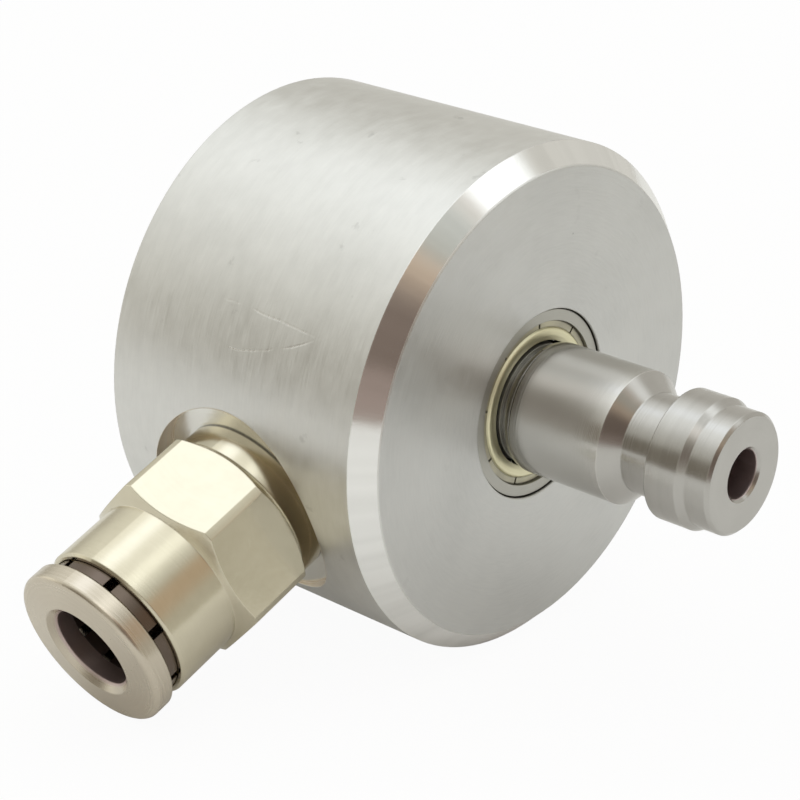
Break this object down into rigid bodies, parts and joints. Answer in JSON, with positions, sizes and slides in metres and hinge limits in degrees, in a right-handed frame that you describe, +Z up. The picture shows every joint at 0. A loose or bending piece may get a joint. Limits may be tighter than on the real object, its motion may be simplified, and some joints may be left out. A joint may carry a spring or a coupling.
{
  "type": "rotary union",
  "caption": "Round rotary union: a hollow shaft with a quick coupling plug turns on ball bearings in a housing fed by a push-in tube fitting at its side.",
  "frame": {"origin": "middle of the housing's flat rear face, on the shaft axis", "axes": "+Y out of the rear face along the shaft axis, so the plug points to -Y; +Z up, with the housing lying on its round side and the tube fitting down to the left at -X"},
  "size_m": [0.0446, 0.0355, 0.032],
  "materials": {
    "housing_aluminium": "turned, satin",
    "cover_aluminium": "turned, satin",
    "bearing_steel": "ground",
    "ball_steel": "polished",
    "cage_steel": "pressed",
    "shield_yellow": "yellow passivated, smooth",
    "shaft_stainless": "fine turned",
    "clip_steel": "blackened",
    "seal_rubber": "matt",
    "lantern_brass": "turned",
    "fitting_plated": "nickel plated, bright",
    "collet_plated": "nickel plated, satin",
    "washer_plastic": "natural"
  },
  "bodies": {
    "stator": {"housing": "housing_aluminium", "rear_cover": "cover_aluminium", "front_bearing_outer_ring": "bearing_steel", "rear_bearing_outer_ring": "bearing_steel", "front_shield": "shield_yellow", "inner_shield": "shield_yellow", "front_shaft_seal": "seal_rubber", "rear_shaft_seal": "seal_rubber", "lantern_ring": "lantern_brass", "fitting_body": "fitting_plated", "fitting_seal": "seal_rubber", "tube_seal": "seal_rubber", "tube_seal_washer": "washer_plastic", "collet_stop_ring": "fitting_plated"},
    "rotor": {"rotor_shaft": "shaft_stainless", "shaft_clip": "clip_steel", "front_bearing_inner_ring": "bearing_steel", "rear_bearing_inner_ring": "bearing_steel"},
    "front_balls": {"front_bearing_balls": "ball_steel", "front_bearing_cage": "cage_steel"},
    "rear_balls": {"rear_bearing_balls": "ball_steel", "rear_bearing_cage": "cage_steel"},
    "collet": {"release_collet": "collet_plated"}
  },
  "joints": [
    {"name": "rotor_spin", "type": "hinge", "parent": "stator", "child": "rotor", "pos_m": [0, -0.0098, 0], "axis": [0, 1, 0], "continuous": true},
    {"name": "front_balls_orbit", "type": "hinge", "parent": "stator", "child": "front_balls", "pos_m": [0, -0.0186, 0], "axis": [0, 1, 0], "continuous": true},
    {"name": "rear_balls_orbit", "type": "hinge", "parent": "stator", "child": "rear_balls", "pos_m": [0, -0.0039, 0], "axis": [0, 1, 0], "continuous": true},
    {"name": "collet_slide", "type": "slide", "parent": "stator", "child": "collet", "axis": [0.9217, 0, 0.388], "range_m": [0, 0.0009]}
  ],
  "couplings": [
    {"joint": "front_balls_orbit", "follows": "rotor_spin", "ratio": 0.38978},
    {"joint": "rear_balls_orbit", "follows": "rotor_spin", "ratio": 0.38978}
  ]
}
